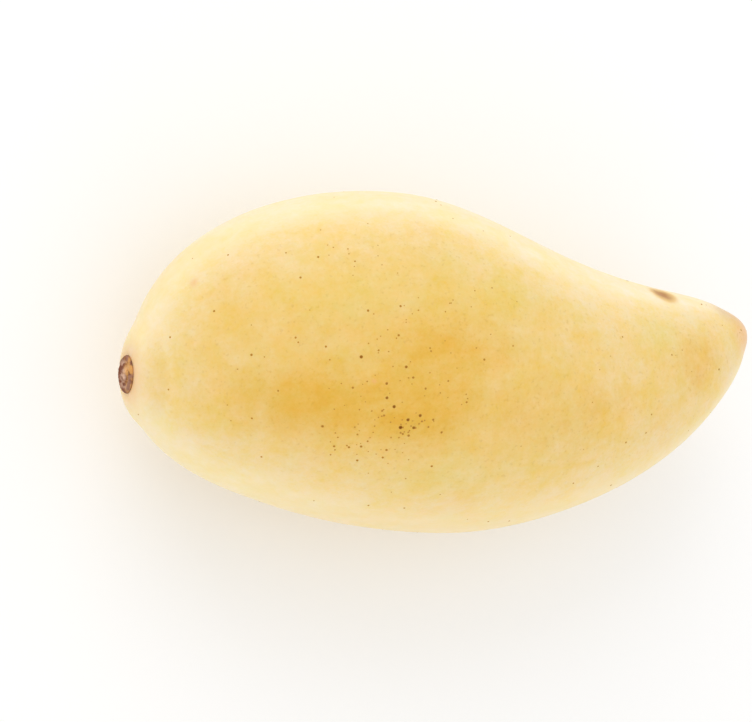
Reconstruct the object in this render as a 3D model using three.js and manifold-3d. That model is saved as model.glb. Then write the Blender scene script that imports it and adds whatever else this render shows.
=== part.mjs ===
// A ripe yellow mango of the long, beaked kind, lying on one cheek as it would on a table.
//
// The fruit grew in one piece and is one solid. What is left of its stalk, a corky button about
// 8 mm across, sits in a shallow socket at the stem end and is a solid of its own.
//
// Frame, in millimetres: X runs from the stem end to the beak, +Y is the front edge, which hollows in
// just before the beak, and +Z is up. The origin is on the table, under the middle of the mango.

import * as THREE from 'three';
import { mergeVertices } from 'three/addons/utils/BufferGeometryUtils.js';
import Module from 'manifold-3d';

// ---- Driving dimensions, in millimetres ----

const LENGTH = 150; // stem end to the tip of the beak

// How far each side of the fruit reaches from its axis, at even steps from the stem end to the tip.
// One number repeated would make that side half an ellipse.
const FRONT_REACH = [49, 47, 44, 41, 37, 28, 20.5, 18, 20];
const BACK_REACH = [36.5, 36, 37.5, 39.5, 40, 38.5, 37.5, 29.5];
const CHEEK_REACH = [32.5, 33.4, 34.2, 34.2, 32, 28, 24, 21];

const REST_DEPTH = 0.8; // what its own weight presses flat where the fruit lies on the table

const STALK_RADIUS = 4.2; // the button left where the stalk broke off
const STALK_PLUG_RADIUS = 3;
const STALK_PLUG_DEPTH = 3;
const STALK_CROWN = 0.6; // how far the middle of the button stands out of the stem end
const STALK_OFFSET = { y: 2, z: 1.7 }; // the stalk grows a little to the front and to one cheek
const STALK_LEAN = { front: 4, up: 8 }; // degrees away from straight along the axis
const STALK_GAP = 0.3; // all round, between the button and its socket

// ---- Mesh fineness ----

const AROUND = 64; // facets round the fruit
const ALONG = 48; // rings from the stem end to the tip
const STALK_AROUND = 32;

const skin = new THREE.MeshStandardMaterial({ color: 0xebc371, roughness: 0.5, metalness: 0 });
const cork = new THREE.MeshStandardMaterial({ color: 0x8a5c3a, roughness: 0.85, metalness: 0 });

const wasm = await Module();
wasm.setup();

// ---- Helpers ----

/** A smooth curve through evenly spaced heights (a uniform cubic B-spline that ends on the last ones). */
function smoothHeight(heights, share) {
  const last = heights.length - 1;
  const before = 2 * heights[0] - heights[1];
  const after = 2 * heights[last] - heights[last - 1];
  const padded = [before, ...heights, after];
  const place = THREE.MathUtils.clamp(share, 0, 1) * last;
  const span = Math.min(Math.floor(place), last - 1);
  const t = place - span;
  const weights = [
    (1 - t) ** 3,
    3 * t ** 3 - 6 * t ** 2 + 4,
    -3 * t ** 3 + 3 * t ** 2 + 3 * t + 1,
    t ** 3,
  ];
  return weights.reduce((sum, weight, k) => sum + weight * padded[span + k], 0) / 6;
}

/** A closed three.js geometry as a solid that can be cut. */
function solidOf(geometry) {
  const bare = geometry.clone();
  bare.deleteAttribute('normal');
  bare.deleteAttribute('uv');
  const merged = mergeVertices(bare, 1e-3);
  return new wasm.Manifold(
    new wasm.Mesh({
      numProp: 3,
      vertProperties: merged.attributes.position.array,
      triVerts: new Uint32Array(merged.index.array),
    }),
  );
}

/** A cut solid back as a three.js geometry, with flat facets. */
function geometryOf(solid) {
  const { vertProperties, triVerts } = solid.getMesh();
  const indexed = new THREE.BufferGeometry()
    .setAttribute('position', new THREE.BufferAttribute(vertProperties, 3))
    .setIndex(new THREE.BufferAttribute(triVerts, 1));
  const geometry = indexed.toNonIndexed();
  geometry.computeVertexNormals();
  return geometry;
}

/** Where the stalk's button is, with its own +Y pointing out of the fruit. */
function stalkPlace() {
  const front = THREE.MathUtils.degToRad(STALK_LEAN.front);
  const up = THREE.MathUtils.degToRad(STALK_LEAN.up);
  const outward = new THREE.Vector3(-1, Math.tan(front), Math.tan(up)).normalize();
  const turn = new THREE.Quaternion().setFromUnitVectors(new THREE.Vector3(0, 1, 0), outward);
  const seat = new THREE.Vector3(-LENGTH / 2, STALK_OFFSET.y, STALK_OFFSET.z);
  return new THREE.Matrix4().compose(seat, turn, new THREE.Vector3(1, 1, 1));
}

// ---- The pieces ----

/** The whole fruit: a sphere with its poles at the stem end and the tip, drawn out to each side's reach. */
function wholeFruit() {
  const form = new THREE.SphereGeometry(1, AROUND, ALONG);
  const points = form.attributes.position;
  for (let i = 0; i < points.count; i++) {
    const towardsStem = points.getY(i);
    const towardsFront = points.getX(i);
    const towardsCheek = points.getZ(i);
    const ring = Math.hypot(towardsFront, towardsCheek);
    const share = (1 - towardsStem) / 2;
    const front = smoothHeight(FRONT_REACH, share);
    const back = smoothHeight(BACK_REACH, share);
    const cheek = smoothHeight(CHEEK_REACH, share);
    points.setXYZ(
      i,
      (-towardsStem * LENGTH) / 2,
      (ring * (front - back)) / 2 + (towardsFront * (front + back)) / 2,
      towardsCheek * cheek,
    );
  }
  return solidOf(form);
}

/** The table below the resting spot, as a block to cut away. */
function belowRest(fruit) {
  const lowest = fruit.boundingBox().min[2];
  const block = new THREE.BoxGeometry(2 * LENGTH, 2 * LENGTH, LENGTH);
  block.translate(0, 0, lowest + REST_DEPTH - LENGTH / 2);
  return solidOf(block);
}

/** The socket that the stalk's button sits in, open to the outside. */
function stalkSocket() {
  const profile = [
    new THREE.Vector2(0, -STALK_PLUG_DEPTH - STALK_GAP),
    new THREE.Vector2(STALK_PLUG_RADIUS + STALK_GAP, -STALK_PLUG_DEPTH - STALK_GAP),
    new THREE.Vector2(STALK_RADIUS + STALK_GAP, -STALK_RADIUS / 5),
    new THREE.Vector2(STALK_RADIUS + STALK_GAP, STALK_RADIUS),
    new THREE.Vector2(0, STALK_RADIUS),
  ];
  return solidOf(new THREE.LatheGeometry(profile, STALK_AROUND).applyMatrix4(stalkPlace()));
}

function makeFruit() {
  const whole = wholeFruit();
  const fruit = new THREE.Mesh(
    geometryOf(whole.subtract(belowRest(whole)).subtract(stalkSocket())),
    skin,
  );
  fruit.name = 'mango_fruit';
  return fruit;
}

/** The button: a short plug with a rounded shoulder and a low crown. */
function makeStalkButton() {
  const crown = new THREE.CubicBezierCurve(
    new THREE.Vector2(STALK_RADIUS, -STALK_RADIUS / 5),
    new THREE.Vector2(STALK_RADIUS, STALK_CROWN / 2),
    new THREE.Vector2(STALK_RADIUS / 2, STALK_CROWN),
    new THREE.Vector2(0, STALK_CROWN),
  );
  const profile = [
    new THREE.Vector2(0, -STALK_PLUG_DEPTH),
    new THREE.Vector2(STALK_PLUG_RADIUS, -STALK_PLUG_DEPTH),
    ...crown.getPoints(8),
  ];
  const button = new THREE.Mesh(new THREE.LatheGeometry(profile, STALK_AROUND), cork);
  button.applyMatrix4(stalkPlace());
  button.name = 'stalk_button';
  return button;
}

// ---- Assembly ----

const mango = new THREE.Group();
mango.add(makeFruit(), makeStalkButton());

// Stand the mango on the table, with the origin under the middle of its box.
const box = new THREE.Box3().setFromObject(mango, true);
const middle = box.getCenter(new THREE.Vector3());
mango.position.set(-middle.x, -middle.y, -box.min.z);

export default mango;
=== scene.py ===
"""A ripe yellow mango of the long, beaked kind, lying on one cheek.

The fruit runs along X from the stem end to the beak, +Y is its front edge, which hollows in before the
beak, and +Z is up. All sizes are in metres. The form of the fruit and the dots on its skin are grown by
geometry node trees; the stalk's button is modelled point by point.
"""

import math

import bpy
from bpy.props import FloatProperty, FloatVectorProperty, IntProperty, PointerProperty
from bpy.types import Operator, Panel, PropertyGroup
from mathutils import Matrix, Vector, noise


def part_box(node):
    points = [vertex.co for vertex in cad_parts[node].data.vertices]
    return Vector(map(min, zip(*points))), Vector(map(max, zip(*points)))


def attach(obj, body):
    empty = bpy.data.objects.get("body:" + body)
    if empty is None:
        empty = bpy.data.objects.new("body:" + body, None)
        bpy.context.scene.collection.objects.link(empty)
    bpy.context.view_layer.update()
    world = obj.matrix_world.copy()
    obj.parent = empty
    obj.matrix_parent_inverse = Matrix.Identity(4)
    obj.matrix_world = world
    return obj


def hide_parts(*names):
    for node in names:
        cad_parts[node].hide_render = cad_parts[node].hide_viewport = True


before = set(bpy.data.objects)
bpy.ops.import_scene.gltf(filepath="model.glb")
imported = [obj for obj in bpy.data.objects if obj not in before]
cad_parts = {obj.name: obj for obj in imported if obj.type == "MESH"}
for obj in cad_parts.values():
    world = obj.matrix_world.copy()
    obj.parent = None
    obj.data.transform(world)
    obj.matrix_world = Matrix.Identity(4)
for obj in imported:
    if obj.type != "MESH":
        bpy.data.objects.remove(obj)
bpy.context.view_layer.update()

bl_info = {
    "name": "Mango",
    "version": (1, 0, 0),
    "blender": (4, 5, 0),
    "location": "View3D > Sidebar > Mango",
    "description": "A ripe yellow mango with its stalk button, ready to light and render",
    "category": "Object",
}

FRUIT_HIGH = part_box("mango_fruit")[1]
STALK_LOW, STALK_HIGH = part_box("stalk_button")

MM = 0.001
REST_DEPTH = 0.8 * MM  # what its own weight presses flat where the fruit lies
FRUIT_MIDDLE = Vector((0, 0, (FRUIT_HIGH.z - REST_DEPTH) / 2))
STALK_MIDDLE = (STALK_LOW + STALK_HIGH) / 2


def linear(colour):
    """A colour written as 0xRRGGBB, as the three linear numbers that a shader works in."""
    parts = [(colour >> shift & 255) / 255 for shift in (16, 8, 0)]
    return [c / 12.92 if c <= 0.04045 else ((c + 0.055) / 1.055) ** 2.4 for c in parts]


# ---- Expressions on node sockets ----


class Wire:
    """The output of a node, which Python expressions can add, multiply and compare."""

    def __init__(self, tree, socket):
        self.tree = tree
        self.socket = socket

    def _join(self, operation, *values, output=0):
        several = any(isinstance(v, Wire) and v.socket.type == "VECTOR" for v in values)
        kind = "ShaderNodeVectorMath" if several else "ShaderNodeMath"
        numbered = dict(enumerate(values))
        return self.tree.wire(kind, {"operation": operation}, numbered, output)

    def __add__(self, other):
        return self._join("ADD", self, other)

    __radd__ = __add__

    def __sub__(self, other):
        return self._join("SUBTRACT", self, other)

    def __rsub__(self, other):
        return self._join("SUBTRACT", other, self)

    def __mul__(self, other):
        return self._join("MULTIPLY", self, other)

    __rmul__ = __mul__

    def __truediv__(self, other):
        return self._join("DIVIDE", self, other)

    def __rtruediv__(self, other):
        return self._join("DIVIDE", other, self)

    def __pow__(self, other):
        return self._join("POWER", self, other)

    def __abs__(self):
        return self._join("ABSOLUTE", self)

    def above(self, limit):
        return self._join("MAXIMUM", self, limit)

    def below(self, limit):
        return self._join("MINIMUM", self, limit)

    def softly_above(self, limit, blend):
        return self._join("SMOOTH_MAX", self, limit, blend)

    def cos(self):
        return self._join("COSINE", self)

    def sin(self):
        return self._join("SINE", self)

    def arccos(self):
        return self._join("ARCCOSINE", self)

    def length(self):
        return self._join("LENGTH", self, output=1)

    def unit(self):
        return self._join("NORMALIZE", self)

    def dot(self, other):
        return self._join("DOT_PRODUCT", self, other, output=1)

    def times(self, scale):
        """This vector with all its parts multiplied by one number."""
        settings = {"operation": "SCALE"}
        return self.tree.wire("ShaderNodeVectorMath", settings, {0: self, "Scale": scale})

    def over(self, low, high):
        """From low where this is 0 to high where it is 1."""
        return low + (high - low) * self

    def parts(self):
        split = self.tree.add("ShaderNodeSeparateXYZ", inputs={0: self})
        return [Wire(self.tree, socket) for socket in split.outputs]

    def rise(self, start, end):
        """0 up to start, 1 from end on, and smooth between them. It falls when end comes first."""
        settings = {"interpolation_type": "SMOOTHSTEP"}
        limits = {"Value": self, "From Min": start, "From Max": end}
        if start > end:
            limits = {"Value": self, "From Min": end, "From Max": start}
            limits.update({"To Min": 1.0, "To Max": 0.0})
        return self.tree.wire("ShaderNodeMapRange", settings, limits)


class Tree:
    """A node tree that is being written."""

    def __init__(self, node_tree):
        self.nodes = node_tree.nodes
        self.links = node_tree.links

    def add(self, kind, settings=None, inputs=None):
        """A new node: its settings first, then the values or wires of its sockets."""
        node = self.nodes.new(kind)
        for name, value in (settings or {}).items():
            setattr(node, name, value)
        for key, value in (inputs or {}).items():
            if isinstance(value, Wire):
                self.links.new(value.socket, node.inputs[key])
            elif node.inputs[key].type == "VECTOR" and isinstance(value, (int, float)):
                node.inputs[key].default_value = (value,) * 3
            elif node.inputs[key].type == "RGBA":
                node.inputs[key].default_value = (*value[:3], 1)
            else:
                node.inputs[key].default_value = value
        return node

    def wire(self, kind, settings=None, inputs=None, output=0):
        return Wire(self, self.add(kind, settings, inputs).outputs[output])

    def vector(self, x, y, z):
        return self.wire("ShaderNodeCombineXYZ", inputs={"X": x, "Y": y, "Z": z})

    def mix(self, factor, first, second):
        """The first colour where factor is 0 and the second where it is 1."""
        colour_sockets = {"Factor": factor, 6: first, 7: second}
        return self.wire("ShaderNodeMix", {"data_type": "RGBA"}, colour_sockets, output=2)

    def tinted(self, colour, red, green, blue):
        """A colour with each of its parts multiplied."""
        sockets = {"Factor": 1.0, 6: colour, 7: self.vector(red, green, blue)}
        settings = {"data_type": "RGBA", "blend_type": "MULTIPLY"}
        return self.wire("ShaderNodeMix", settings, sockets, output=2)

    def noise(self, place, scale, detail=2.0, roughness=0.5):
        """Smooth noise between about 0.2 and 0.8 that is the same each time."""
        sockets = {"Vector": place, "Scale": scale, "Detail": detail, "Roughness": roughness}
        return self.wire("ShaderNodeTexNoise", inputs=sockets)

    def patch(self, place, centre, reach):
        """1 at the centre, fading to 0 at reach along each axis."""
        return ((place - centre) / reach).length().rise(1, 0)


class Recipe(Tree):
    """A geometry node tree, with its sizes as named inputs."""

    SOCKETS = {
        int: "NodeSocketInt",
        float: "NodeSocketFloat",
        Vector: "NodeSocketVector",
        bpy.types.Object: "NodeSocketObject",
    }

    def __init__(self, name, sizes):
        self.group = bpy.data.node_groups.new(name, "GeometryNodeTree")
        super().__init__(self.group)
        face = self.group.interface
        face.new_socket("Geometry", in_out="INPUT", socket_type="NodeSocketGeometry")
        face.new_socket("Geometry", in_out="OUTPUT", socket_type="NodeSocketGeometry")
        self.sizes = sizes
        self.identifiers = {}
        for label, value in sizes.items():
            socket_type = self.SOCKETS[type(value)]
            socket = face.new_socket(label, in_out="INPUT", socket_type=socket_type)
            self.identifiers[label] = socket.identifier
        self.source = self.nodes.new("NodeGroupInput")

    def size(self, label):
        return Wire(self, self.source.outputs[label])

    def geometry(self):
        return Wire(self, self.source.outputs["Geometry"])

    def joined(self, *geometries):
        together = self.nodes.new("GeometryNodeJoinGeometry")
        for geometry in geometries:
            self.links.new(geometry.socket, together.inputs["Geometry"])
        return Wire(self, together.outputs["Geometry"])

    def moved(self, geometry, offset):
        return self.wire("GeometryNodeSetPosition", inputs={"Geometry": geometry, "Offset": offset})

    def finish(self, geometry, material):
        """Ends the tree: everything real, with its material."""
        real = self.wire("GeometryNodeRealizeInstances", inputs={"Geometry": geometry})
        painted = {"Geometry": real, "Material": material}
        painted = self.wire("GeometryNodeSetMaterial", inputs=painted)
        end = self.nodes.new("NodeGroupOutput")
        self.links.new(painted.socket, end.inputs["Geometry"])

    def grow(self, name, start_mesh):
        """Runs the tree on a mesh, and gives what comes out as a plain mesh object."""
        sprout = bpy.data.objects.new(name + "_sprout", start_mesh)
        bpy.context.scene.collection.objects.link(sprout)
        modifier = sprout.modifiers.new(self.group.name, "NODES")
        modifier.node_group = self.group
        for label, value in self.sizes.items():
            modifier[self.identifiers[label]] = value
        graph = bpy.context.evaluated_depsgraph_get()
        grown = sprout.evaluated_get(graph)
        mesh = bpy.data.meshes.new_from_object(
            grown, preserve_all_data_layers=True, depsgraph=graph
        )
        sprout.modifiers.clear()
        bpy.data.objects.remove(sprout)
        mesh.name = name
        return placed(name, mesh)


def placed(name, mesh):
    """A new object for a mesh, standing at the origin."""
    thing = bpy.data.objects.new(name, mesh)
    bpy.context.scene.collection.objects.link(thing)
    return thing


def material_tree(name):
    """A new material, its tree, and its main shader."""
    material = bpy.data.materials.new(name)
    material.use_nodes = True
    tree = Tree(material.node_tree)
    shader = tree.nodes["Principled BSDF"]
    return material, tree, shader


def feed(tree, shader, **channels):
    for name, value in channels.items():
        tree.links.new(value.socket, shader.inputs[name.replace("_", " ")])


# ---- Sizes and colours ----


def size_property(name, description, default, **limits):
    return FloatProperty(
        name=name, description=description, default=default, unit="LENGTH", precision=5, **limits
    )


def colour_property(name, description, default):
    return FloatVectorProperty(
        name=name, description=description, default=linear(default), subtype="COLOR", min=0, max=1
    )


def reach_property(name, description, millimetres):
    return FloatVectorProperty(
        name=name,
        description=description,
        default=[value * MM for value in millimetres],
        size=len(millimetres),
        unit="LENGTH",
        precision=5,
    )


class MangoForm(PropertyGroup):
    length: size_property("Length", "From the stem end to the tip of the beak", 150 * MM)
    front: reach_property(
        "Front edge",
        "How far the front edge reaches from the axis, at even steps from the stem end to the tip",
        [49, 47, 44, 41, 37, 28, 20.5, 18, 20],
    )
    back: reach_property(
        "Back edge",
        "How far the back edge reaches from the axis, at the same kind of steps",
        [36.5, 36, 37.5, 39.5, 40, 38.5, 37.5, 29.5],
    )
    cheek: reach_property(
        "Cheeks",
        "How far each cheek reaches from the axis, at the same kind of steps",
        [32.5, 33.4, 34.2, 34.2, 32, 28, 24, 21],
    )
    undulation: size_property("Undulation", "How far the skin strays from its even form", 0.5 * MM)
    lip: size_property("Lip", "How high the skin swells round the stalk's button", 0.05 * MM)
    nose: size_property("Nose", "How far the corner of the beak stands out", 0.9 * MM)
    rings: IntProperty(name="Rings", description="Rings from end to end", default=220, min=24)
    around: IntProperty(name="Around", description="Facets round the fruit", default=320, min=24)


class SkinLook(PropertyGroup):
    # The pale colour is partly the waxy bloom and partly painted sheen: the pale rims of grazing
    # reflection and the light on the front edge, painted into the skin's colour.
    pale: colour_property("Pale", "The bloom along the edges of the fruit", 0xF9E4B0)
    yellow: colour_property("Yellow", "The even colour of the ripe skin", 0xEAC46B)
    gold: colour_property("Gold", "Where the cheek has ripened most", 0xE2AC18)
    green: colour_property("Green", "The last green in the skin", 0xDCCB5A)
    flush: colour_property("Flush", "The warm tinge at both ends", 0xEDB06E)
    tinge: colour_property("Tinge", "The greyish brown tinge on the corner of the beak", 0xCB9A62)
    speck: colour_property("Speck", "Faint corky specks all over the skin", 0xC2923A)
    scar: colour_property("Scar", "The dry scar where the flower's style was", 0xA8641A)
    roughness: FloatProperty(
        name="Roughness", description="How dull the wax is", default=0.46, min=0, max=1,
        subtype="FACTOR",
    )
    grain: size_property("Grain", "How deep the fine grain of the skin is", 0.03 * MM)


class DotLook(PropertyGroup):
    smallest: size_property("Smallest", "Radius of the faintest dots", 0.14 * MM)
    largest: size_property("Largest", "Radius of the biggest scattered dots", 0.3 * MM)
    rise: FloatProperty(name="Rise", description="Height over radius", default=0.2, min=0.02, max=1)
    seed: IntProperty(name="Seed", description="Another seed scatters them anew", default=4)
    heart: colour_property("Heart", "The corky middle of the biggest dots", 0x7A4404)
    faint: colour_property("Faint", "The middle of the faintest dots", 0xC48E3C)
    rim: colour_property("Rim", "Where a dot fades into the skin", 0xD8AA50)


class StalkLook(PropertyGroup):
    radius: size_property("Radius", "From the middle to the rim of the button", 4.2 * MM)
    overhang: size_property("Overhang", "How far its rim reaches over the skin", 0.3 * MM)
    crown: size_property("Crown", "How far the middle stands out of the stem end", 0.6 * MM)
    depth: size_property("Depth", "How deep the button goes into its socket", 2.4 * MM)
    lean_front: FloatProperty(
        name="Lean to the front", description="Turned from the axis towards the front edge",
        default=math.radians(4), unit="ROTATION",
    )
    lean_up: FloatProperty(
        name="Lean up", description="Turned from the axis towards the upper cheek",
        default=math.radians(8), unit="ROTATION",
    )
    bark: colour_property("Bark", "The dry rim of the button", 0x7E452A)
    pith: colour_property("Pith", "The lighter lumps in the middle", 0xDDB498)
    pit: colour_property("Pit", "The bottoms of the pits", 0x3E1D0C)
    sap: colour_property("Sap", "Dried sap on the side towards the upper cheek", 0xDFA14E)


class StageLook(PropertyGroup):
    floor: colour_property("Floor", "The pale floor", 0xFDFDFD)
    sky: FloatProperty(name="Sky", description="Strength of the light from all round", default=0.92)
    overhead: FloatProperty(
        name="Overhead", description="Power of the big soft light past the front edge, in watts",
        default=1.6, unit="POWER",
    )
    fill: FloatProperty(
        name="Fill", description="Power of the low light past the back edge, in watts",
        default=0.5, unit="POWER",
    )
    tilt: FloatProperty(
        name="Tilt", description="How far the camera leans from straight above to the stem end",
        default=math.radians(18), unit="ROTATION",
    )
    roll: FloatProperty(
        name="Roll", description="How far the beak hangs down in the picture",
        default=math.radians(4.2), unit="ROTATION",
    )
    lens: FloatProperty(name="Lens", description="Focal length", default=100, unit="CAMERA")
    distance: size_property("Distance", "From the camera to the middle of the fruit", 474 * MM)
    aim: FloatVectorProperty(
        name="Aim", description="What the camera looks at, from the middle of the fruit",
        default=(-17.2 * MM, 0.9 * MM, 0), unit="LENGTH", precision=5,
    )


# ---- The fruit ----

POLE_CROWDING = 0.3  # how much closer the rings stand at both ends
UNDULATION_WAVES = 26.0  # in a metre

STYLE_SCAR = FRUIT_MIDDLE + Vector((52, 12.2, 8.5)) * MM
SCAR_HOLLOW_REACH = Vector((4, 3, 4)) * MM
SCAR_HOLLOW_DEPTH = 0.3 * MM
SCAR_COLOUR_REACH = Vector((5.5, 5, 5.5)) * MM
BEAK_CORNER = FRUIT_MIDDLE + Vector((75, 2, 2)) * MM
BEAK_CORNER_REACH = Vector((11, 7, 11)) * MM

RIM_LEVEL = -0.05 * MM  # the skin at the button's rim, over the button's seat
STEM_END = (24 * MM, 20 * MM)  # the skin is shaped up to the first distance, and fully up to the second
# Distances from the button's rim, in millimetres:
COLLAR_END = 9.0
LIP_START, LIP_CREST, LIP_END = 0.2, 1.4, 4.5
SOCKET_WALL = -0.3


def spline_hump(distance):
    """What one height adds to a smooth curve, at a distance of so many steps from it."""
    away = abs(distance)
    return ((2 - away).above(0) ** 3 - 4 * (1 - away).above(0) ** 3) / 6


def smooth_height(heights, share):
    """A smooth curve through evenly spaced heights, which ends on the last ones."""
    before = 2 * heights[0] - heights[1]
    after = 2 * heights[-1] - heights[-2]
    place = share * (len(heights) - 1)
    return sum(
        height * spline_hump(place - step)
        for step, height in enumerate([before, *heights, after], start=-1)
    )


def numbered(label, heights):
    return {f"{label} {step + 1}": float(height) for step, height in enumerate(heights)}


def stalk_axis(look):
    """The way that the stalk's button faces."""
    return Vector((-1, math.tan(look.lean_front), math.tan(look.lean_up))).normalized()


def stalk_seat(look):
    """The middle of the button, on the surface of the fruit."""
    crown_top = STALK_LOW.x
    return Vector((crown_top + look.crown, STALK_MIDDLE.y, STALK_MIDDLE.z))


def fruit_recipe(form, stalk):
    sizes = {
        "Length": form.length,
        **numbered("Front", form.front),
        **numbered("Back", form.back),
        **numbered("Cheek", form.cheek),
        "Rings": form.rings,
        "Around": form.around,
        "Undulation": form.undulation,
        "Lip": form.lip,
        "Nose": form.nose,
        "Rest depth": REST_DEPTH,
        "Tip and middle": Vector((FRUIT_HIGH.x, FRUIT_MIDDLE.y, 0)),
        "Stalk seat": stalk_seat(stalk),
        "Stalk axis": stalk_axis(stalk),
        "Stalk radius": stalk.radius - stalk.overhang,
        "Socket depth": stalk.depth,
    }
    recipe = Recipe("mango_form", sizes)
    ball = {"Segments": recipe.size("Around"), "Rings": recipe.size("Rings"), "Radius": 1.0}
    ball = recipe.wire("GeometryNodeMeshUVSphere", inputs=ball)
    place = recipe.wire("GeometryNodeInputPosition")
    normal = recipe.wire("GeometryNodeInputNormal")

    # The even form: a ball with its poles at the stem end and the tip, drawn out to each side's reach.
    x, y, z = place.parts()
    angle = z.arccos()
    angle = angle - POLE_CROWDING * (2 * angle).sin()
    towards_stem, ring = angle.cos(), angle.sin()
    towards_front, towards_cheek, _ = recipe.vector(x, y, 0.0).unit().parts()
    share = (1 - towards_stem) / 2
    front, back, cheek = (
        smooth_height([recipe.size(f"{side} {step + 1}") for step in range(len(reach))], share)
        for side, reach in (("Front", form.front), ("Back", form.back), ("Cheek", form.cheek))
    )
    shaped = recipe.vector(
        towards_stem * recipe.size("Length") / -2,
        ring * ((front - back) / 2 + towards_front * (front + back) / 2),
        ring * towards_cheek * cheek,
    )
    fruit = recipe.wire("GeometryNodeSetPosition", inputs={"Geometry": ball, "Position": shaped})

    # Into its place: the tip where the frame has it, and a little below the floor.
    box = recipe.add("GeometryNodeBoundBox", inputs={"Geometry": fruit})
    _, low_y, low_z = Wire(recipe, box.outputs["Min"]).parts()
    high_x, high_y, _ = Wire(recipe, box.outputs["Max"]).parts()
    found = recipe.vector(high_x, (low_y + high_y) / 2, low_z + recipe.size("Rest depth"))
    fruit = recipe.moved(fruit, recipe.size("Tip and middle") - found)

    # Drawing out the ball has turned it inside out.
    fruit = recipe.wire("GeometryNodeFlipFaces", inputs={"Mesh": fruit})

    # What makes it a grown thing: slow undulations, the corner of the beak, the hollow of a dry scar.
    slow = recipe.noise(place, UNDULATION_WAVES, detail=1.5) - 0.5
    hollow = recipe.patch(place, STYLE_SCAR, SCAR_HOLLOW_REACH)
    corner = recipe.patch(place, BEAK_CORNER, BEAK_CORNER_REACH)
    swell = recipe.size("Undulation") * 2 * slow + recipe.size("Nose") * corner
    swell = swell - SCAR_HOLLOW_DEPTH * hollow
    fruit = recipe.moved(fruit, normal.times(swell))

    # Round the stalk's button the skin comes up to its rim, swells in a low lip, and drops into a socket.
    axis = recipe.size("Stalk axis")
    seat = place - recipe.size("Stalk seat")
    along = seat.dot(axis)
    from_rim = ((seat - axis.times(along)).length() - recipe.size("Stalk radius")) / MM
    at_stem = seat.length().rise(*STEM_END)
    raised = (RIM_LEVEL - along) * from_rim.rise(COLLAR_END, 0.0) * at_stem
    fruit = recipe.moved(fruit, axis.times(raised))
    lip = from_rim.rise(LIP_START, LIP_CREST) * from_rim.rise(LIP_END, LIP_CREST)
    lip = recipe.size("Lip") * lip
    sunk = recipe.size("Socket depth") * from_rim.rise(0.0, SOCKET_WALL)
    fruit = recipe.moved(fruit, axis.times((lip - sunk) * at_stem))

    # The flat spot that it lies on.
    x, y, z = place.parts()
    rested = recipe.vector(x, y, z.softly_above(0.0, recipe.size("Rest depth")))
    fruit = recipe.wire("GeometryNodeSetPosition", inputs={"Geometry": fruit, "Position": rested})
    facing_up = {"Geometry": fruit, "Name": "cheek", "Value": abs(normal.parts()[2])}
    fruit = recipe.wire("GeometryNodeStoreNamedAttribute", {"data_type": "FLOAT"}, facing_up)
    smooth = {"Geometry": fruit, "Shade Smooth": True}
    return recipe, recipe.wire("GeometryNodeSetShadeSmooth", inputs=smooth)


GOLD_PATCHES = (
    # centre from the middle of the fruit, reach, strength
    ((-22, -12, 30), (26, 13, 20), 0.62),
    ((-42, -6, 24), (22, 12, 20), 0.65),
    ((-12, 2, 33), (32, 15, 20), 0.55),
    ((55, -4, 14), (16, 13, 20), 0.5),
    ((14, -14, 26), (34, 14, 20), 0.4),
    ((-20, 8, -31), (40, 20, 20), 0.8),
    ((28, -6, -24), (30, 18, 20), 0.5),
)
GREEN_PATCHES = (
    ((-16, 18, 27), (36, 12, 16), 0.35),
    ((6, 12, 29), (24, 11, 15), 0.5),
    ((-34, 14, 26), (24, 11, 15), 0.4),
    ((-10, -24, 22), (28, 9, 15), 0.6),
    ((45, 2, 18), (16, 8, 12), 0.6),
    ((10, 14, -26), (34, 18, 16), 0.5),
)
FLUSH_PATCHES = (
    ((-75, 2, 3), (9, 12, 12), 1.0),
    ((56, -7, 16), (6, 6, 8), 0.35),
    ((74, 1, 4), (10, 12, 14), 0.8),
    ((-61, 20.4, 13), (2.2, 2.2, 2.2), 0.6),
    ((-28, -3.3, 31), (1.2, 1.0, 1.2), 0.8),
    ((-70, 2.5, 7), (3.5, 5, 3.5), 0.6),
)
TINGE_PATCHES = (
    ((71, 6.5, 4), (10, 5, 9), 0.6),
    ((75, 3.5, 2), (3, 3, 4), 0.5),
)

# How fine each pattern of the skin is, in waves to a metre.
CLOUDS = 38.0
BLOTCHES = 150.0
STREAKS = (30.0, 420.0, 420.0)
RICHNESS = 130.0
WARMTH = 110.0
SPECKS = 1200.0
SCAR_FRAYS = 600.0
GRAIN = 520.0

SCAR_FRAY = 1.6 * MM  # how far the scar's edge strays
FLESH_GLOW = 3 * MM  # how deep light goes into the flesh


def patches(tree, place, rows):
    """All the patches of one colour together, from 0 to 1."""
    total = 0
    for centre, reach, strength in rows:
        centre = FRUIT_MIDDLE + Vector(centre) * MM
        total = total + strength * tree.patch(place, centre, Vector(reach) * MM)
    return total.below(1)


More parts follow.
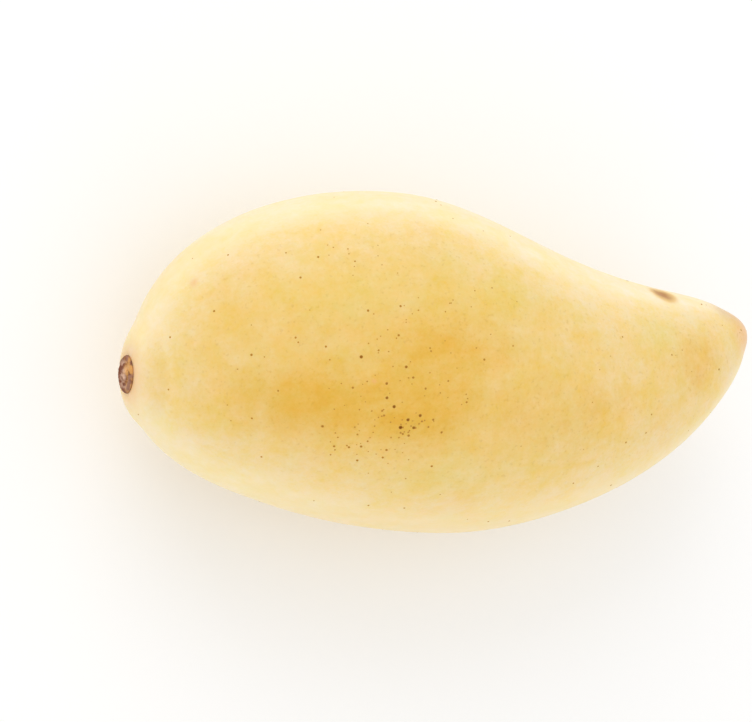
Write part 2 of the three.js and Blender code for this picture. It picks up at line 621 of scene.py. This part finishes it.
def skin_material(look):
    material, tree, shader = material_tree("mango_skin")
    place = tree.wire("ShaderNodeTexCoord", output="Object")
    cheek = tree.wire("ShaderNodeAttribute", {"attribute_name": "cheek"}, output="Fac")
    x, y, _ = place.parts()
    broad = tree.noise(place, CLOUDS, detail=2.5, roughness=0.6)
    blotch = tree.noise(place, BLOTCHES, detail=4.5, roughness=0.85)
    streak = tree.noise(place * STREAKS, 1.0, detail=3.0, roughness=0.6)

    # Golden on the cheeks, and paler towards the edges of the fruit, most at the front edge and over the
    # half towards the beak. The paling is partly the waxy bloom and partly painted sheen, the pale rims
    # that the white surroundings reflect at grazing angles, with painted light on the front edge, which
    # faces the front lamp.
    stem_end = x.rise(-10 * MM, -70 * MM)
    front = y.rise(-30 * MM, 20 * MM)
    # Paler where the skin turns from facing up or down and on the front edge: partly bloom, partly
    # painted sheen and painted light.
    bloom_and_painted_sheen = cheek.rise(0.99, 0.42) * front.over(0.65 + 0.35 * stem_end, 1.1 - 0.2 * stem_end)
    bloom_and_painted_sheen = bloom_and_painted_sheen + (0.15 + 0.12 * front) * x.rise(-30 * MM, 40 * MM)
    colour = tree.mix(bloom_and_painted_sheen, look.yellow, look.pale)
    gold = patches(tree, place, GOLD_PATCHES) + 0.5 * (broad - 0.5) + 1.0 * (blotch - 0.5)
    gold = gold + 0.12 * x.rise(20 * MM, -30 * MM)
    colour = tree.mix(gold.rise(0.0, 1.1) * cheek.rise(0.5, 1.0), colour, look.gold)
    green = patches(tree, place, GREEN_PATCHES) * (0.5 + (blotch - 0.3))
    colour = tree.mix(green.rise(0.0, 1.2), colour, look.green)
    flush = patches(tree, place, FLUSH_PATCHES) + 0.25 * broad.rise(0.55, 0.75)
    colour = tree.mix(flush.rise(0.0, 1.3), colour, look.flush)
    tinge = patches(tree, place, TINGE_PATCHES) * (0.6 + 1.5 * (blotch - 0.3))
    colour = tree.mix(tinge, colour, look.tinge)

    # The mottling is mostly in how rich the yellow is; a second noise turns it warm and green.
    rich = tree.noise(place + (0.3, 0.1, 0.2), RICHNESS, detail=4.5, roughness=0.85) - 0.5
    warm = tree.noise(place + (0.7, 0.5, 0.4), WARMTH, detail=4.5, roughness=0.8) - 0.5
    lines = streak - 0.5
    strength = cheek.rise(0.3, 0.95).over(0.5, 1.0)
    rich = strength * rich
    warm = strength * warm
    redder = 1 + 0.10 * rich + 0.14 * warm + 0.05 * lines
    greener = 1 + 0.30 * rich - 0.16 * warm + 0.08 * lines
    bluer = 1 + 2.3 * rich - 0.70 * warm + 0.25 * lines
    colour = tree.tinted(colour, redder, greener, bluer)

    # Faint corky specks, far smaller than the dots.
    speck = tree.noise(place, SPECKS, detail=1.0).rise(0.62, 0.76)
    colour = tree.mix(0.18 * speck * cheek.rise(0.45, 0.9), colour, look.speck)

    # The dry scar where the flower's style was.
    ragged = SCAR_FRAY * (tree.noise(place, SCAR_FRAYS, detail=3.0) - 0.5)
    frayed = place + tree.vector(ragged, ragged, ragged)
    style = tree.patch(frayed, STYLE_SCAR, SCAR_COLOUR_REACH)
    colour = tree.mix(0.6 * style.rise(0.02, 0.4), colour, look.gold)
    colour = tree.mix(0.85 * style.rise(0.2, 0.95), colour, look.scar)

    height = tree.noise(place, GRAIN, detail=3.0, roughness=0.55) + 0.4 * streak
    bump = {"Strength": 1.0, "Distance": look.grain, "Height": height}
    feed(
        tree,
        shader,
        Base_Color=colour,
        Roughness=look.roughness + 0.12 * (blotch - 0.5) + 0.2 * style,
        Normal=tree.wire("ShaderNodeBump", inputs=bump),
    )
    shader.inputs["Sheen Weight"].default_value = 0.1
    shader.inputs["Sheen Roughness"].default_value = 0.4
    shader.inputs["Subsurface Weight"].default_value = 0.12
    shader.inputs["Subsurface Radius"].default_value = (1.0, 0.55, 0.2)
    shader.inputs["Subsurface Scale"].default_value = FLESH_GLOW
    return material


class MANGO_OT_fruit(Operator):
    """Grow the fruit in the place of its node"""

    bl_idname = "mango.fruit"
    bl_label = "Fruit"

    def execute(self, context):
        scene = context.scene
        recipe, geometry = fruit_recipe(scene.mango_form, scene.mango_stalk)
        recipe.finish(geometry, skin_material(scene.mango_skin))
        fruit = recipe.grow("mango_skin", bpy.data.meshes.new("seedling"))
        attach(fruit, "root")
        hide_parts("mango_fruit")
        return {"FINISHED"}


# ---- The dots on the skin ----

BIG_DOTS = (
    # place from the middle of the fruit, radius
    ((-22.5, -13.5, 29.8), 0.46),
    ((-21, -12, 30.6), 0.4),
    ((-24, -9, 31), 0.4),
    ((-30.5, 2, 31.1), 0.38),
    ((-19.7, -13.8, 30.2), 0.38),
    ((-18.4, -11.3, 31.2), 0.38),
    ((-25.5, -7, 31.1), 0.36),
    ((-25.5, -4, 31.7), 0.32),
    ((-21.2, -0.8, 32.6), 0.34),
    ((-20.7, -15.4, 29.4), 0.3),
    ((-22, -15, 29.5), 0.28),
    ((-18, -12.6, 30.9), 0.26),
    ((-38.6, -12, 26), 0.32),
    ((-30.5, -17, 26.4), 0.3),
    ((-33, -17, 25.7), 0.28),
    ((-36, -16.5, 24.8), 0.28),
    ((-31, -20, 24.5), 0.28),
    ((-15, -22.6, 26.6), 0.28),
)
DOT_CLUSTERS = (
    # centre from the middle of the fruit, reach, dots per square centimetre
    ((-20.5, -13, 30), (5, 4, 8), 40.0),
    ((-24, -10, 30), (18, 14, 14), 10.0),
    ((-30, -18, 27), (16, 10, 12), 10.0),
    ((-22, 2, 31), (36, 28, 20), 6.0),
    ((-30, 24, 22), (20, 12, 14), 5.0),
    ((10, 6, -28), (30, 20, 16), 5.0),
    ((-26, 12, -28), (7, 6, 8), 30.0),
    ((-10, -34, -6), (24, 12, 18), 6.0),
)
SPARSE_DOTS = 0.6  # per square centimetre, everywhere else
SQUARE_CM = 1e-4
BARE_HEIGHT = (0.2 * MM, 0.5 * MM)  # no dots up to the first height over the floor, all from the second
RADIUS_SEED = 7
FAINT_HEART, FULL_HEART = 0.18 * MM, 0.5 * MM  # radius of a dot with such a middle
RAGGED_RIMS = 4000.0  # waves in a metre


def big_dot_mesh():
    """One loose point for each of the biggest dots, with its radius."""
    mesh = bpy.data.meshes.new("big_dots")
    mesh.from_pydata([FRUIT_MIDDLE + Vector(place) * MM for place, _ in BIG_DOTS], [], [])
    layer = mesh.attributes.new("dot_size", "FLOAT", "POINT")
    layer.data.foreach_set("value", [radius * MM for _, radius in BIG_DOTS])
    return mesh


def dot_recipe(look, fruit):
    sizes = {
        "Fruit": fruit,
        "Smallest": look.smallest,
        "Largest": look.largest,
        "Rise": look.rise,
        "Seed": look.seed,
    }
    recipe = Recipe("mango_dots", sizes)
    skin = {"Object": recipe.size("Fruit")}
    skin = recipe.wire("GeometryNodeObjectInfo", inputs=skin, output="Geometry")
    place = recipe.wire("GeometryNodeInputPosition")
    crowd = SPARSE_DOTS
    for centre, reach, per_square_cm in DOT_CLUSTERS:
        centre = FRUIT_MIDDLE + Vector(centre) * MM
        crowd = crowd + per_square_cm * recipe.patch(place, centre, Vector(reach) * MM)
    crowd = crowd * place.parts()[2].rise(*BARE_HEIGHT)
    scatter = {"Mesh": skin, "Density": crowd / SQUARE_CM, "Seed": recipe.size("Seed")}
    small = recipe.wire("GeometryNodeDistributePointsOnFaces", inputs=scatter)
    between = {2: 0.0, 3: 1.0, "Seed": RADIUS_SEED}
    chance = recipe.wire("FunctionNodeRandomValue", inputs=between, output=1)
    spread = recipe.size("Largest") - recipe.size("Smallest")
    radius = recipe.size("Smallest") + spread * chance**3
    small = {"Geometry": small, "Name": "dot_size", "Value": radius}
    small = recipe.wire("GeometryNodeStoreNamedAttribute", {"data_type": "FLOAT"}, small)
    big = recipe.wire("GeometryNodeMeshToPoints", inputs={"Mesh": recipe.geometry()})
    points = recipe.joined(small, big)

    # Each dot is a low dome that stands on the skin and faces out of it.
    bead = recipe.wire("GeometryNodeMeshIcoSphere", inputs={"Radius": 1.0, "Subdivisions": 2})
    x, y, z = place.parts()
    bead = {"Geometry": bead, "Name": "rim", "Value": 1 - z.above(0)}
    bead = recipe.wire("GeometryNodeStoreNamedAttribute", {"data_type": "FLOAT"}, bead)
    flat = recipe.vector(x, y, z * recipe.size("Rise"))
    bead = recipe.wire("GeometryNodeSetPosition", inputs={"Geometry": bead, "Position": flat})
    normal = recipe.wire("GeometryNodeInputNormal")
    out = {"Mesh": skin, "Value": normal, "Sample Position": place}
    out = recipe.wire("GeometryNodeSampleNearestSurface", {"data_type": "FLOAT_VECTOR"}, out)
    facing = recipe.wire("FunctionNodeAlignRotationToVector", {"axis": "Z"}, {"Vector": out})
    on_skin = {"Mesh": skin, "Value": place, "Sample Position": place}
    on_skin = recipe.wire("GeometryNodeSampleNearestSurface", {"data_type": "FLOAT_VECTOR"}, on_skin)
    points = recipe.wire("GeometryNodeSetPosition", inputs={"Geometry": points, "Position": on_skin})
    radius = {"Name": "dot_size"}
    radius = recipe.wire("GeometryNodeInputNamedAttribute", {"data_type": "FLOAT"}, radius)
    planted = {"Points": points, "Instance": bead, "Rotation": facing, "Scale": radius}
    planted = recipe.wire("GeometryNodeInstanceOnPoints", inputs=planted)
    smooth = {"Geometry": planted, "Shade Smooth": True}
    return recipe, recipe.wire("GeometryNodeSetShadeSmooth", inputs=smooth)


def dot_material(look):
    material, tree, shader = material_tree("mango_dot")
    place = tree.wire("ShaderNodeTexCoord", output="Object")
    rim = tree.wire("ShaderNodeAttribute", {"attribute_name": "rim"}, output="Fac")
    size = tree.wire("ShaderNodeAttribute", {"attribute_name": "dot_size"}, output="Fac")
    ragged = rim + 0.5 * (tree.noise(place, RAGGED_RIMS, detail=2.0) - 0.5)
    heart = tree.mix(size.rise(FAINT_HEART, FULL_HEART), look.faint, look.heart)
    colour = tree.mix(ragged.rise(0.1, 0.9), heart, look.rim)
    feed(tree, shader, Base_Color=colour, Roughness=0.8 - 0.25 * rim)
    shader.inputs["Specular IOR Level"].default_value = 0.1
    return material


class MANGO_OT_dots(Operator):
    """Scatter the corky dots over the skin"""

    bl_idname = "mango.dots"
    bl_label = "Skin dots"

    def execute(self, context):
        look = context.scene.mango_dots
        recipe, geometry = dot_recipe(look, bpy.data.objects["mango_skin"])
        recipe.finish(geometry, dot_material(look))
        dots = recipe.grow("mango_dots", big_dot_mesh())
        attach(dots, "root")
        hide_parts("mango_fruit")
        return {"FINISHED"}


# ---- The stalk's button ----

BUTTON_RINGS = 46
BUTTON_SIDES = 128
BUTTON_WALL = ((0.97, 0.0), (0.85, -0.3), (0.82, -1.4), (0.78, -2.2), (0.5, -2.3))  # shares and mm
RIM_HEIGHT = 0.3 * MM  # how far the rim of the button stands over its seat
WALL_RELIEF = 0.5  # below the rim nothing is coloured as a pit
ROUNDED_FROM = 0.88  # share of the radius where the face starts to round off
ROUNDED_DROP = 0.25 * MM
EDGE_STRAY = 0.03

# Rings of the face: middle and width as shares of the radius, and height in millimetres.
OUTER_RING = (0.84, 0.14, 0.42)
CORE = (0.0, 0.42, 0.35)
GROOVE = (0.58, 0.13, -0.5)

# How fine each pattern of the cork is, in waves to a metre.
CORK_GRAIN = 1400.0
CORK_LUMPS = 560.0
SAP_FLECKS = 420.0
CORK_GRAIN_DEPTH = 0.15 * MM


def bumpiness(point, size, seed=0.0):
    """Rough noise between about -1 and 1, with lumps of the given size."""
    return noise.fractal(Vector(point) / size + Vector((seed, 0, 0)), 1.0, 2.0, 3)


def swelling(ring, share):
    """The height of a ring of the face, at a share of the radius."""
    middle, width, height = ring
    return height * math.exp(-(((share - middle) / width) ** 2))


def button_height(look, share, angle):
    """How far the button's face stands over its seat, at a share of its radius and an angle."""
    flat = Vector((share * math.cos(angle), share * math.sin(angle), 0))
    crown = look.crown * (1 - share**2) + RIM_HEIGHT
    lumps = 0.5 + 0.5 * bumpiness(flat, 0.32, seed=3.1)
    gaps = max(0.0, bumpiness(flat, 0.22, seed=9.4))
    relief = (swelling(OUTER_RING, share) + swelling(CORE, share)) * lumps
    relief += swelling(GROOVE, share) * (0.35 + gaps)
    return crown + MM * (relief + 0.10 * bumpiness(flat, 0.09))


def stalk_mesh(look):
    """The button as rings of points, from the middle of its face over the rim to its foot."""
    sides = BUTTON_SIDES
    turn = Vector((0, 0, 1)).rotation_difference(stalk_axis(look)).to_matrix().to_4x4()
    seat = Matrix.Translation(stalk_seat(look)) @ turn
    points = [(0, 0, button_height(look, 0, 0))]
    relief = [points[0][2] / MM]
    rows = [(step / BUTTON_RINGS, None) for step in range(1, BUTTON_RINGS + 1)]
    rows += BUTTON_WALL
    for share, drop in rows:
        for side in range(sides):
            angle = 2 * math.pi * side / sides
            edge = 1 + EDGE_STRAY * bumpiness((math.cos(angle), math.sin(angle), 0), 0.5, seed=5.5)
            radius = look.radius * share * edge
            height = drop * MM if drop is not None else button_height(look, share, angle)
            relief.append(height / MM if drop is None else WALL_RELIEF)
            if drop is None:
                rounded = max(0.0, (share - ROUNDED_FROM) / (1 - ROUNDED_FROM))
                height -= ROUNDED_DROP * rounded**2
            points.append((radius * math.cos(angle), radius * math.sin(angle), height))
    foot = len(points)
    points.append((0, 0, BUTTON_WALL[-1][1] * MM))
    relief.append(WALL_RELIEF)

    faces = [(0, 1 + side, 1 + (side + 1) % sides) for side in range(sides)]
    for row in range(len(rows) - 1):
        start, beyond = 1 + row * sides, 1 + (row + 1) * sides
        for side in range(sides):
            after = (side + 1) % sides
            faces.append((start + side, beyond + side, beyond + after, start + after))
    last = 1 + (len(rows) - 1) * sides
    faces += [(foot, last + (side + 1) % sides, last + side) for side in range(sides)]

    mesh = bpy.data.meshes.new("stalk_button")
    mesh.from_pydata([seat @ Vector(p) for p in points], [], faces)
    mesh.polygons.foreach_set("use_smooth", [True] * len(mesh.polygons))
    layer = mesh.attributes.new("relief", "FLOAT", "POINT")
    layer.data.foreach_set("value", relief)
    mesh.update()
    return mesh


def stalk_material(look):
    material, tree, shader = material_tree("stalk_cork")
    place = tree.wire("ShaderNodeTexCoord", output="Object")
    relief = tree.wire("ShaderNodeAttribute", {"attribute_name": "relief"}, output="Fac")
    grain = tree.noise(place, CORK_GRAIN, detail=4.0, roughness=0.65)
    lump = tree.noise(place * (1.0, 1.0, 0.45), CORK_LUMPS, detail=1.5)
    out_of_middle = (place - stalk_seat(look)) / look.radius
    up = out_of_middle.parts()[2]
    from_middle = out_of_middle.length()

    colour = tree.mix(lump.rise(0.42, 0.6), look.bark, look.pith)
    colour = tree.mix(from_middle.rise(0.55, 0.9) * 0.75, colour, look.bark)
    sap = up.rise(-0.1, 0.55) * tree.noise(place, SAP_FLECKS, detail=2.0).rise(0.4, 0.58)
    colour = tree.mix(0.85 * sap, colour, look.sap)
    colour = tree.mix(relief.rise(0.36, 0.14), colour, look.pit)
    shade = 0.75 + 0.5 * grain
    colour = tree.tinted(colour, shade, shade, shade)
    bump = {"Strength": 1.0, "Distance": CORK_GRAIN_DEPTH, "Height": grain}
    feed(
        tree,
        shader,
        Base_Color=colour,
        Roughness=0.85 - 0.35 * sap,
        Normal=tree.wire("ShaderNodeBump", inputs=bump),
    )
    return material


class MANGO_OT_stalk_button(Operator):
    """Model the corky button where the stalk broke off"""

    bl_idname = "mango.stalk_button"
    bl_label = "Stalk button"

    def execute(self, context):
        look = context.scene.mango_stalk
        button = placed("stalk_button_cork", stalk_mesh(look))
        button.data.materials.append(stalk_material(look))
        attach(button, "root")
        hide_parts("stalk_button")
        return {"FINISHED"}


# ---- The stage ----

FLOOR_HALF = 3.0
LAMP_SIZE = 0.6
FRONT_LAMP_PLACE = (-0.15, 0.7, 0.6)
BACK_LAMP_PLACE = (0.1, -0.8, 0.4)
SENSOR_WIDTH = 36
NEAREST_SEEN = 0.01


def floor_material(look):
    material, _, shader = material_tree("pale_floor")
    shader.inputs["Base Color"].default_value = (*look.floor, 1)
    shader.inputs["Roughness"].default_value = 0.9
    shader.inputs["Specular IOR Level"].default_value = 0.1
    return material


def soft_light(name, power, place):
    """A square lamp at a place, turned towards the fruit."""
    lamp = bpy.data.lights.new(name, "AREA")
    lamp.energy = power
    lamp.size = LAMP_SIZE
    thing = placed(name, lamp)
    thing.location = place
    thing.rotation_euler = (FRUIT_MIDDLE - Vector(place)).to_track_quat("-Z", "Y").to_euler()


class MANGO_OT_stage(Operator):
    """Lay the pale floor and set up the soft lights and the camera"""

    bl_idname = "mango.stage"
    bl_label = "Stage"

    def execute(self, context):
        look = context.scene.mango_stage
        half = FLOOR_HALF
        floor = bpy.data.meshes.new("floor")
        corners = [(-half, -half, 0), (half, -half, 0), (half, half, 0), (-half, half, 0)]
        floor.from_pydata(corners, [], [(0, 1, 2, 3)])
        floor.materials.append(floor_material(look))
        placed("floor", floor)

        world = bpy.data.worlds.new("studio")
        world.use_nodes = True
        background = world.node_tree.nodes["Background"]
        background.inputs["Color"].default_value = (1, 1, 1, 1)
        background.inputs["Strength"].default_value = look.sky
        context.scene.world = world
        soft_light("front_light", look.overhead, FRONT_LAMP_PLACE)
        soft_light("back_light", look.fill, BACK_LAMP_PLACE)

        camera = bpy.data.cameras.new("camera")
        camera.lens = look.lens
        camera.sensor_width = SENSOR_WIDTH
        camera.clip_start = NEAREST_SEEN
        thing = placed("camera", camera)
        backwards = Vector((-math.sin(look.tilt), 0, math.cos(look.tilt)))
        level = Vector((math.cos(look.tilt), 0, math.sin(look.tilt)))
        right = level * math.cos(look.roll) - Vector((0, math.sin(look.roll), 0))
        axes = Matrix((right, backwards.cross(right), backwards)).transposed()
        place = FRUIT_MIDDLE + Vector(look.aim) + backwards * look.distance
        thing.matrix_world = Matrix.Translation(place) @ axes.to_4x4()
        context.scene.camera = thing
        context.scene.view_settings.view_transform = "Standard"
        return {"FINISHED"}


class MANGO_PT_panel(Panel):
    """Everything that builds the mango, in order"""

    bl_idname = "MANGO_PT_panel"
    bl_label = "Mango"
    bl_space_type = "VIEW_3D"
    bl_region_type = "UI"
    bl_category = "Mango"

    def draw(self, context):
        for operator, groups in BUILD_ORDER:
            box = self.layout.box()
            box.operator(operator.bl_idname)
            for group in groups:
                for name in GROUPS[group].__annotations__:
                    box.prop(getattr(context.scene, group), name)


BUILD_ORDER = (
    (MANGO_OT_fruit, ("mango_form", "mango_skin")),
    (MANGO_OT_dots, ("mango_dots",)),
    (MANGO_OT_stalk_button, ("mango_stalk",)),
    (MANGO_OT_stage, ("mango_stage",)),
)
GROUPS = {
    "mango_form": MangoForm,
    "mango_skin": SkinLook,
    "mango_dots": DotLook,
    "mango_stalk": StalkLook,
    "mango_stage": StageLook,
}


def register():
    for name, group in GROUPS.items():
        bpy.utils.register_class(group)
        setattr(bpy.types.Scene, name, PointerProperty(type=group))
    for operator, _ in BUILD_ORDER:
        bpy.utils.register_class(operator)
    bpy.utils.register_class(MANGO_PT_panel)


def unregister():
    bpy.utils.unregister_class(MANGO_PT_panel)
    for operator, _ in reversed(BUILD_ORDER):
        bpy.utils.unregister_class(operator)
    for name, group in GROUPS.items():
        delattr(bpy.types.Scene, name)
        bpy.utils.unregister_class(group)


def main():
    register()
    bpy.ops.mango.fruit()
    bpy.ops.mango.dots()
    bpy.ops.mango.stalk_button()
    bpy.ops.mango.stage()


if __name__ == "__main__":
    main()
